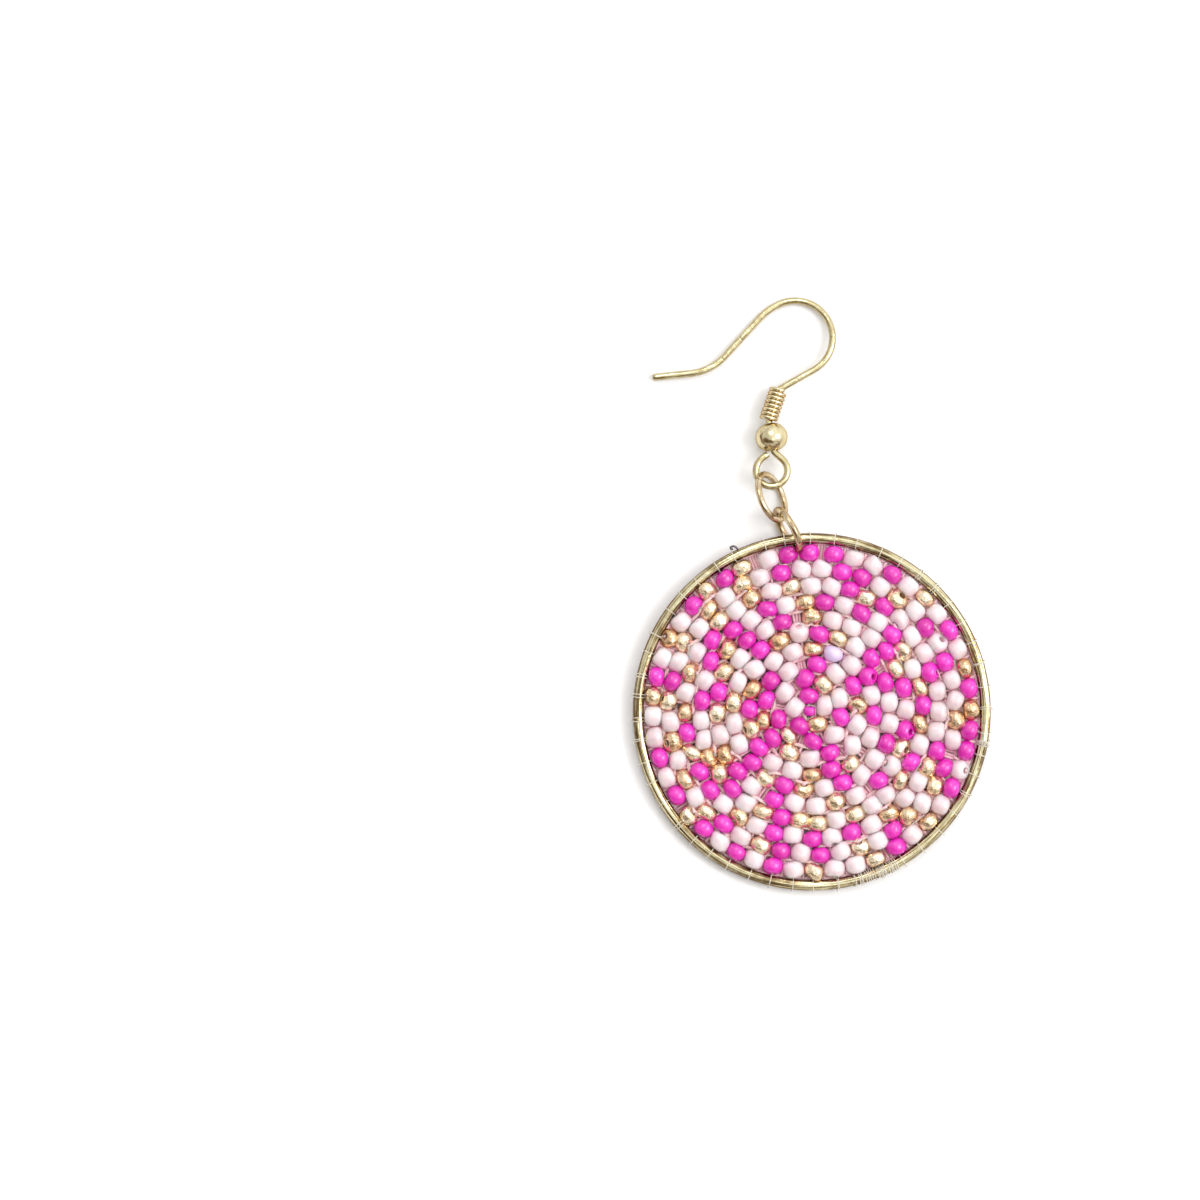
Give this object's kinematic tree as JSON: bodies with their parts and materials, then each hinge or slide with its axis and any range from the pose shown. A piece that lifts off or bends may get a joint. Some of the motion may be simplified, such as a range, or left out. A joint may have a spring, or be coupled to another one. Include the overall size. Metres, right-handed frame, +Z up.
{
  "type": "seed bead earring",
  "caption": "Drop earring lying flat: a bent ear wire with coil and ball, two linked rings and a round wire hoop filled with rings of seed beads.",
  "frame": {"origin": "under the middle of the bounding box, on the surface that the earring lies on", "axes": "+Y from the hoop to the ear hook, +Z up from the surface, +X to the right as the earring is seen from above"},
  "size_m": [0.0358, 0.0594, 0.005],
  "materials": {
    "gold_metal": "polished pale gold plate",
    "pink_beads": "glossy opaque pale pink",
    "magenta_beads": "satin opaque magenta",
    "gold_beads": "metallic lined champagne gold",
    "thread": "clear nylon"
  },
  "bodies": {
    "root": {"ear_wire": "gold_metal", "wire_coil": "gold_metal", "ball_bead": "gold_metal", "jump_ring": "gold_metal", "hoop_link": "gold_metal", "hoop": "gold_metal", "beadwork": "pink_beads"}
  },
  "joints": []
}
